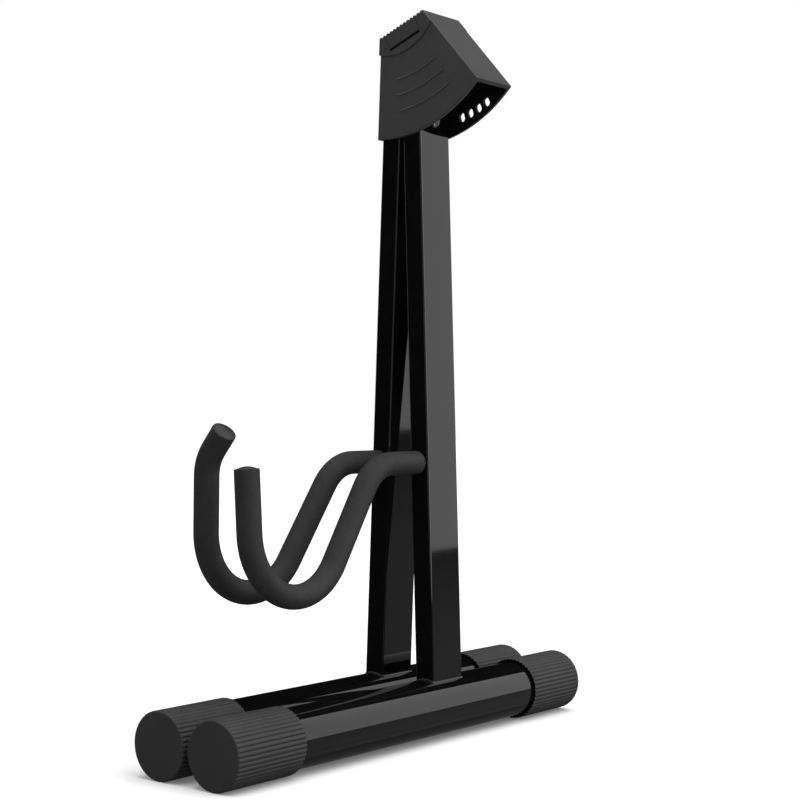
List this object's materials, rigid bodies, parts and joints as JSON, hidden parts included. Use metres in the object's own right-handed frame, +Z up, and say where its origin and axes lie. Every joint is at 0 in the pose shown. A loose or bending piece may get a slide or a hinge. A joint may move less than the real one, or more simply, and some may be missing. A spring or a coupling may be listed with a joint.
{
  "type": "folding guitar stand",
  "caption": "Folding A-frame guitar stand, shown folded, with padded hook arms, round ribbed-cap feet and a moulded hinge head with a release button.",
  "frame": {"origin": "on the floor below the middle of the two folded uprights", "axes": "+Z up, +X to the swinging right leg, +Y to the rear, the padded hooks point to -Y"},
  "size_m": [0.1013, 0.3302, 0.4502],
  "materials": {
    "black_paint": "gloss",
    "cap_rubber": "matte",
    "arm_foam": "matte",
    "plug_plastic": "matte",
    "head_plastic": "satin",
    "button_plastic": "satin",
    "knuckle_plastic": "satin",
    "dark_steel": "satin"
  },
  "bodies": {
    "left_leg": {"left_upright": "black_paint", "left_foot_tube": "black_paint", "left_front_cap": "cap_rubber", "left_rear_cap": "cap_rubber", "left_arm_rod": "black_paint", "left_arm_sleeve": "arm_foam", "left_arm_tip": "plug_plastic", "head_shell": "head_plastic", "top_cap": "head_plastic", "pivot_pin": "dark_steel", "upright_screws": "dark_steel", "button_spring": "dark_steel"},
    "right_leg": {"right_upright": "black_paint", "right_foot_tube": "black_paint", "right_front_cap": "cap_rubber", "right_rear_cap": "cap_rubber", "right_arm_rod": "black_paint", "right_arm_sleeve": "arm_foam", "right_arm_tip": "plug_plastic", "hinge_knuckle": "knuckle_plastic", "knuckle_rivet": "dark_steel"},
    "release_button": {"release_button": "button_plastic"}
  },
  "joints": [
    {"name": "leg_swing", "type": "hinge", "parent": "left_leg", "child": "right_leg", "pos_m": [0.00648, 0, 0.41924], "axis": [0, -1, 0], "range_deg": [0, 39.72]},
    {"name": "button_press", "type": "slide", "parent": "left_leg", "child": "release_button", "axis": [0.3719, 0, -0.9283], "range_m": [0, 0.0015], "stiffness_N_per_m": 1000, "springref_m": -0.003, "deforming": ["button_spring"]}
  ]
}
